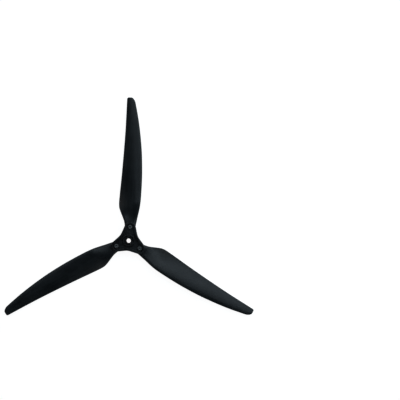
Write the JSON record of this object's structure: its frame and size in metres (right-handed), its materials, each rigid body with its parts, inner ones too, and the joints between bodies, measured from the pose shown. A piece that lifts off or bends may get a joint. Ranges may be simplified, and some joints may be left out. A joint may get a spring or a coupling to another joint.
{
  "type": "folding propeller",
  "caption": "Folding drone propeller: long twisted blades hinged on screws between the two plates of a star-shaped hub with a central shaft bore.",
  "frame": {"origin": "on the shaft bore's axis, halfway up the hub, where the blades' middle planes lie", "axes": "+Z along the bore, away from the motor and in the direction of thrust; +Y from the bore towards the pivot of blade_1; the propeller turns clockwise seen from +Z"},
  "size_m": [0.2635, 0.2446, 0.0124],
  "materials": {
    "black_nylon": "black glass-fibre nylon, satin, faint cool sheen",
    "black_anodised": "black anodised, satin",
    "black_steel": "black oxide, slightly worn to grey on the edges",
    "spring_steel": "bright, lightly brushed",
    "brass": "turned"
  },
  "bodies": {
    "hub": {"hub_lower": "black_nylon", "hub_upper": "black_nylon", "shaft_bush": "black_anodised", "pivot_screw_1": "black_steel", "pivot_screw_2": "black_steel", "pivot_screw_3": "black_steel", "pivot_sleeve_1": "brass", "pivot_sleeve_2": "brass", "pivot_sleeve_3": "brass", "thrust_washer_upper_1": "spring_steel", "thrust_washer_upper_2": "spring_steel", "thrust_washer_upper_3": "spring_steel", "thrust_washer_lower_1": "spring_steel", "thrust_washer_lower_2": "spring_steel", "thrust_washer_lower_3": "spring_steel", "pivot_nut_1": "black_steel", "pivot_nut_2": "black_steel", "pivot_nut_3": "black_steel"},
    "blade_1_body": {"blade_1": "black_nylon"},
    "blade_2_body": {"blade_2": "black_nylon"},
    "blade_3_body": {"blade_3": "black_nylon"}
  },
  "joints": [
    {"name": "blade_1_fold", "type": "hinge", "parent": "hub", "child": "blade_1_body", "pos_m": [0, 0.0144, 0], "axis": [0, 0, 1], "range_deg": [-60.5, 49.5]},
    {"name": "blade_2_fold", "type": "hinge", "parent": "hub", "child": "blade_2_body", "pos_m": [-0.01247, -0.0072, 0], "axis": [0, 0, 1], "range_deg": [-61.7, 48.3]},
    {"name": "blade_3_fold", "type": "hinge", "parent": "hub", "child": "blade_3_body", "pos_m": [0.01247, -0.0072, 0], "axis": [0, 0, 1], "range_deg": [-61.1, 48.9]}
  ]
}
